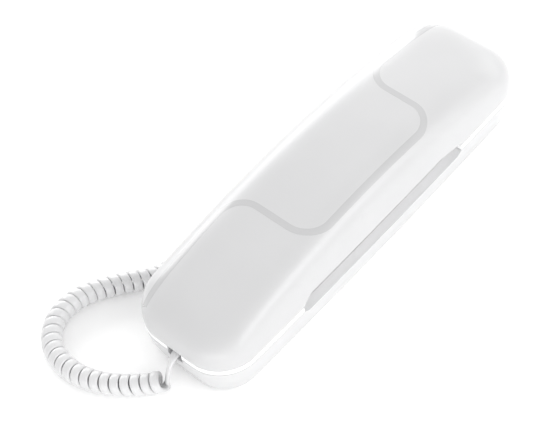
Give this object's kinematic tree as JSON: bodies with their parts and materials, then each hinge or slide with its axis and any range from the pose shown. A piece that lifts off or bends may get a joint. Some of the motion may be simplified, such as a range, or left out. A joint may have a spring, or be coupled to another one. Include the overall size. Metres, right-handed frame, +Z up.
{
  "type": "corded telephone",
  "caption": "Slim corded telephone: a domed handset with a keypad in its face rests face down on a long narrow cradle base, joined by a curly cord.",
  "frame": {"origin": "on the table plane under the middle of the body, cord left out of the measure", "axes": "+Y towards the earpiece end along the body, +Z up, +X to the side away from the jacks"},
  "size_m": [0.0986, 0.2433, 0.0485],
  "materials": {
    "white_shell": "white moulded plastic, fine satin gloss",
    "accent_grey": "light grey glossy plastic",
    "key_plastic": "satin white",
    "silicone": "translucent matt silicone",
    "circuit_board": "green solder mask",
    "black_plastic": "fine matt",
    "foam": "open foam",
    "rubber": "matt",
    "steel": "zinc plated",
    "clear_plastic": "clear polished",
    "cord_jacket": "smooth white jacket"
  },
  "bodies": {
    "base": {"base_top_cover": "white_shell", "base_bottom_cover": "white_shell", "foot_near_left": "rubber", "foot_near_right": "rubber", "foot_far_left": "rubber", "foot_far_right": "rubber", "base_screw_1": "steel", "base_screw_2": "steel", "base_screw_3": "steel", "base_screw_4": "steel", "base_circuit_board": "circuit_board", "base_ringer": "black_plastic", "base_ballast": "steel", "base_handset_jack": "black_plastic", "base_line_jack": "black_plastic", "volume_switch_body": "black_plastic", "base_cord_plug": "clear_plastic", "cord_coil": "cord_jacket", "cord_handset_tail": "cord_jacket", "cord_base_tail": "cord_jacket"},
    "handset": {"handset_back_cover": "white_shell", "handset_front_cover": "white_shell", "handset_accent_inlay": "accent_grey", "keypad_mat": "silicone", "handset_circuit_board": "circuit_board", "hook_switch": "black_plastic", "earpiece_gasket": "foam", "earpiece_speaker": "black_plastic", "microphone_boot": "rubber", "microphone_capsule": "steel", "handset_ballast": "steel", "handset_screw_1": "steel", "handset_screw_2": "steel", "handset_screw_3": "steel", "handset_jack": "black_plastic", "handset_cord_plug": "clear_plastic"},
    "key_star": {"key_star": "key_plastic"},
    "key_0": {"key_0": "key_plastic"},
    "key_hash": {"key_hash": "key_plastic"},
    "key_7": {"key_7": "key_plastic"},
    "key_8": {"key_8": "key_plastic"},
    "key_9": {"key_9": "key_plastic"},
    "key_4": {"key_4": "key_plastic"},
    "key_5": {"key_5": "key_plastic"},
    "key_6": {"key_6": "key_plastic"},
    "key_1": {"key_1": "key_plastic"},
    "key_2": {"key_2": "key_plastic"},
    "key_3": {"key_3": "key_plastic"},
    "key_mute": {"key_mute": "key_plastic"},
    "key_flash": {"key_flash": "key_plastic"},
    "key_redial": {"key_redial": "key_plastic"},
    "hook_plunger": {"hook_plunger": "key_plastic"},
    "volume_switch_knob": {"volume_switch_knob": "white_shell"}
  },
  "joints": [
    {"name": "handset_lift", "type": "slide", "parent": "base", "child": "handset", "axis": [0, 0, 1], "range_m": [0, 0.07]},
    {"name": "key_star_press", "type": "slide", "parent": "handset", "child": "key_star", "axis": [0, 0, 1], "range_m": [0, 0.0012], "stiffness_N_per_m": 500, "springref_m": -0.0008},
    {"name": "key_0_press", "type": "slide", "parent": "handset", "child": "key_0", "axis": [0, 0, 1], "range_m": [0, 0.0012], "stiffness_N_per_m": 500, "springref_m": -0.0008},
    {"name": "key_hash_press", "type": "slide", "parent": "handset", "child": "key_hash", "axis": [0, 0, 1], "range_m": [0, 0.0012], "stiffness_N_per_m": 500, "springref_m": -0.0008},
    {"name": "key_7_press", "type": "slide", "parent": "handset", "child": "key_7", "axis": [0, 0, 1], "range_m": [0, 0.0012], "stiffness_N_per_m": 500, "springref_m": -0.0008},
    {"name": "key_8_press", "type": "slide", "parent": "handset", "child": "key_8", "axis": [0, 0, 1], "range_m": [0, 0.0012], "stiffness_N_per_m": 500, "springref_m": -0.0008},
    {"name": "key_9_press", "type": "slide", "parent": "handset", "child": "key_9", "axis": [0, 0, 1], "range_m": [0, 0.0012], "stiffness_N_per_m": 500, "springref_m": -0.0008},
    {"name": "key_4_press", "type": "slide", "parent": "handset", "child": "key_4", "axis": [0, 0, 1], "range_m": [0, 0.0012], "stiffness_N_per_m": 500, "springref_m": -0.0008},
    {"name": "key_5_press", "type": "slide", "parent": "handset", "child": "key_5", "axis": [0, 0, 1], "range_m": [0, 0.0012], "stiffness_N_per_m": 500, "springref_m": -0.0008},
    {"name": "key_6_press", "type": "slide", "parent": "handset", "child": "key_6", "axis": [0, 0, 1], "range_m": [0, 0.0012], "stiffness_N_per_m": 500, "springref_m": -0.0008},
    {"name": "key_1_press", "type": "slide", "parent": "handset", "child": "key_1", "axis": [0, 0, 1], "range_m": [0, 0.0012], "stiffness_N_per_m": 500, "springref_m": -0.0008},
    {"name": "key_2_press", "type": "slide", "parent": "handset", "child": "key_2", "axis": [0, 0, 1], "range_m": [0, 0.0012], "stiffness_N_per_m": 500, "springref_m": -0.0008},
    {"name": "key_3_press", "type": "slide", "parent": "handset", "child": "key_3", "axis": [0, 0, 1], "range_m": [0, 0.0012], "stiffness_N_per_m": 500, "springref_m": -0.0008},
    {"name": "key_mute_press", "type": "slide", "parent": "handset", "child": "key_mute", "axis": [0, 0, 1], "range_m": [0, 0.0012], "stiffness_N_per_m": 500, "springref_m": -0.0008},
    {"name": "key_flash_press", "type": "slide", "parent": "handset", "child": "key_flash", "axis": [0, 0, 1], "range_m": [0, 0.0012], "stiffness_N_per_m": 500, "springref_m": -0.0008},
    {"name": "key_redial_press", "type": "slide", "parent": "handset", "child": "key_redial", "axis": [0, 0, 1], "range_m": [0, 0.0012], "stiffness_N_per_m": 500, "springref_m": -0.0008},
    {"name": "hook_plunger_slide", "type": "slide", "parent": "handset", "child": "hook_plunger", "axis": [0, 0, -1], "range_m": [0, 0.003]},
    {"name": "volume_slide", "type": "slide", "parent": "base", "child": "volume_switch_knob", "axis": [0, 1, 0], "range_m": [0, 0.006]}
  ],
  "couplings": [
    {"joint": "hook_plunger_slide", "follows": "handset_lift", "ratio": 0.0425}
  ]
}
